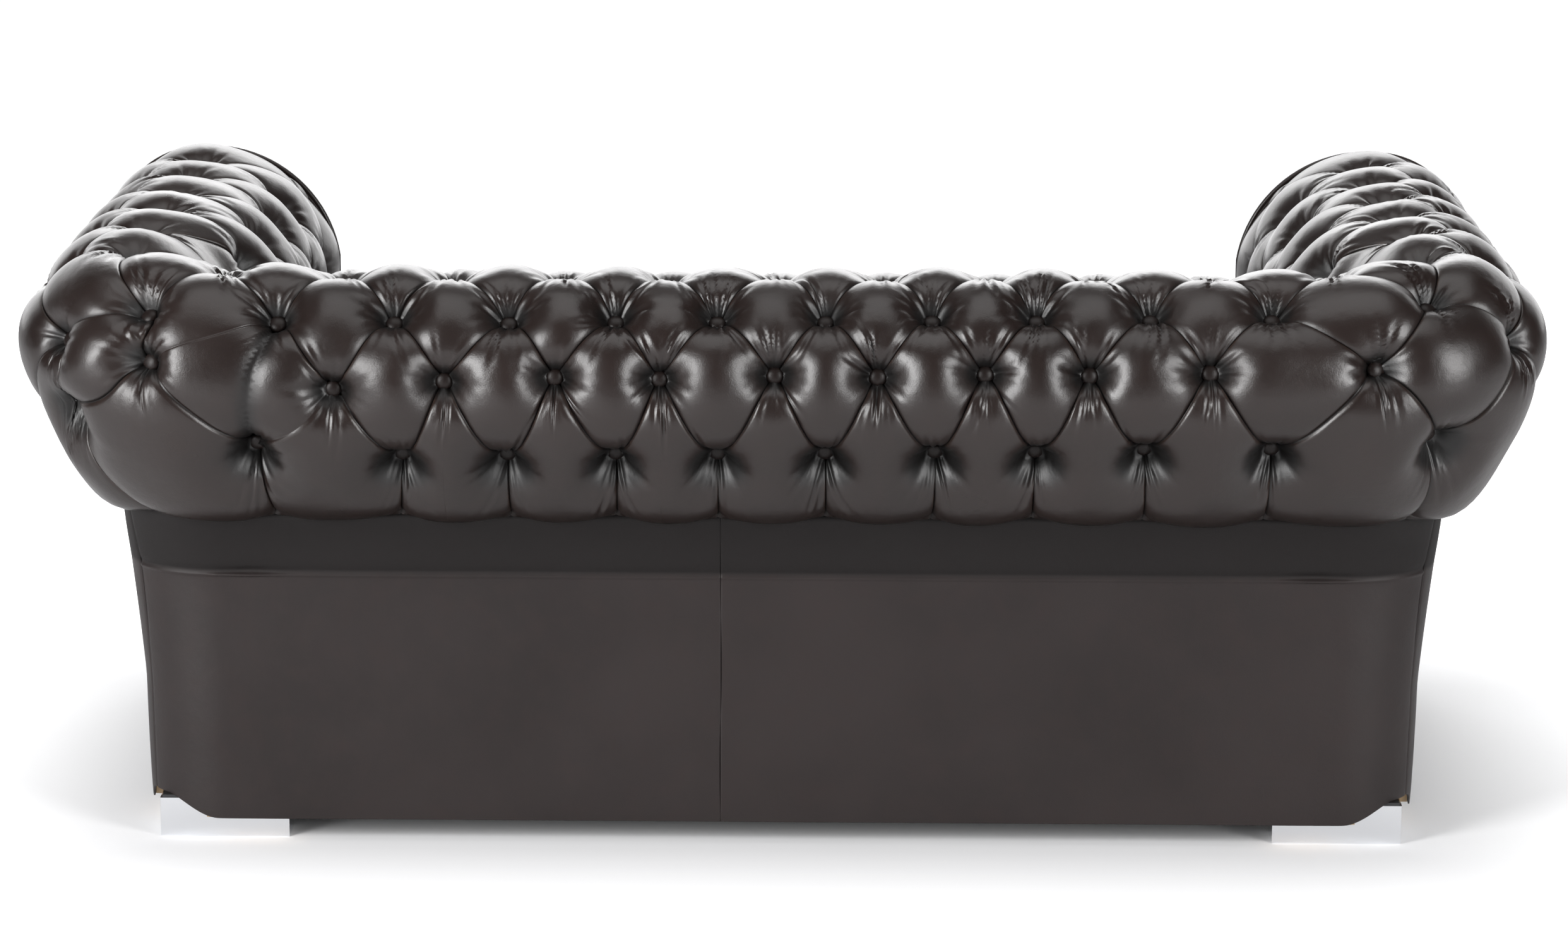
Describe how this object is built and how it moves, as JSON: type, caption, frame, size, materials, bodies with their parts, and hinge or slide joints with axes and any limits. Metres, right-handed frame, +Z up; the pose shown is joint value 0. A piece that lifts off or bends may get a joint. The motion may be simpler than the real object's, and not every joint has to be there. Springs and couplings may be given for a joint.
{
  "type": "chesterfield sofa",
  "caption": "Low leather sofa with a deep-buttoned scroll roll round back and arms, plain outside leather, loose seat cushions and low metal corner feet.",
  "frame": {"origin": "on the floor under the middle of the sofa's bounding box", "axes": "+Z up, +X towards the sitter's left arm, the seat faces -Y"},
  "size_m": [1.74, 0.88, 0.7001],
  "materials": {
    "leather": "semi-gloss, fine grain",
    "button_leather": "semi-gloss, fine grain",
    "piping": "semi-gloss",
    "chrome": "polished",
    "black_steel": "satin black",
    "zinc_screw": "zinc plated",
    "spring_steel": "drawn wire",
    "pine": "planed",
    "plywood": "sawn",
    "card": "pressed board",
    "hessian": "coarse weave",
    "felt": "felted",
    "black_cloth": "non-woven",
    "foam": "foam"
  },
  "bodies": {
    "root": {"tufted_back": "leather", "tufted_arm_left": "leather", "tufted_arm_right": "leather", "buttons_back_outer": "button_leather", "buttons_back_inner": "button_leather", "buttons_arm_left": "button_leather", "buttons_arm_right": "button_leather", "outside_back_left": "leather", "outside_back_right": "leather", "outside_arm_left": "leather", "outside_arm_right": "leather", "corner_liner_left": "card", "corner_liner_right": "card", "rear_bottom_rail": "pine", "front_bottom_rail": "pine", "side_bottom_rail_left": "pine", "side_bottom_rail_right": "pine", "rear_seat_rail": "pine", "side_seat_rail_left": "pine", "side_seat_rail_right": "pine", "centre_stretcher": "pine", "corner_block_rear_left": "pine", "corner_block_rear_right": "pine", "corner_block_front_left": "pine", "corner_block_front_right": "pine", "back_formers": "plywood", "corner_former_left": "plywood", "corner_former_right": "plywood", "arm_formers_left": "plywood", "arm_formers_right": "plywood", "arm_front_board_left": "plywood", "arm_front_board_right": "plywood", "back_top_rail": "pine", "arm_top_rail_left": "pine", "arm_top_rail_right": "pine", "back_tack_rail": "pine", "arm_tack_rail_left": "pine", "arm_tack_rail_right": "pine", "arm_facing_left": "leather", "arm_facing_right": "leather", "front_border": "leather", "seat_springs": "spring_steel", "spring_clips": "black_steel", "seat_hessian": "hessian", "deck_pad": "felt", "deck_cover": "black_cloth", "dust_cover": "black_cloth", "foot_rear_left": "chrome", "foot_rear_right": "chrome", "foot_front_left": "chrome", "foot_front_right": "chrome", "foot_plates": "black_steel", "foot_screws": "zinc_screw", "facing_welts": "piping"},
    "seat_cushion_left": {"seat_cushion_cover_left": "leather", "seat_cushion_core_left": "foam", "seat_cushion_piping_left": "piping"},
    "seat_cushion_right": {"seat_cushion_cover_right": "leather", "seat_cushion_core_right": "foam", "seat_cushion_piping_right": "piping"}
  },
  "joints": [
    {"name": "seat_cushion_left_lift", "type": "slide", "parent": "root", "child": "seat_cushion_left", "axis": [0, 0, 1], "range_m": [0, 0.35]},
    {"name": "seat_cushion_right_lift", "type": "slide", "parent": "root", "child": "seat_cushion_right", "axis": [0, 0, 1], "range_m": [0, 0.35]}
  ]
}
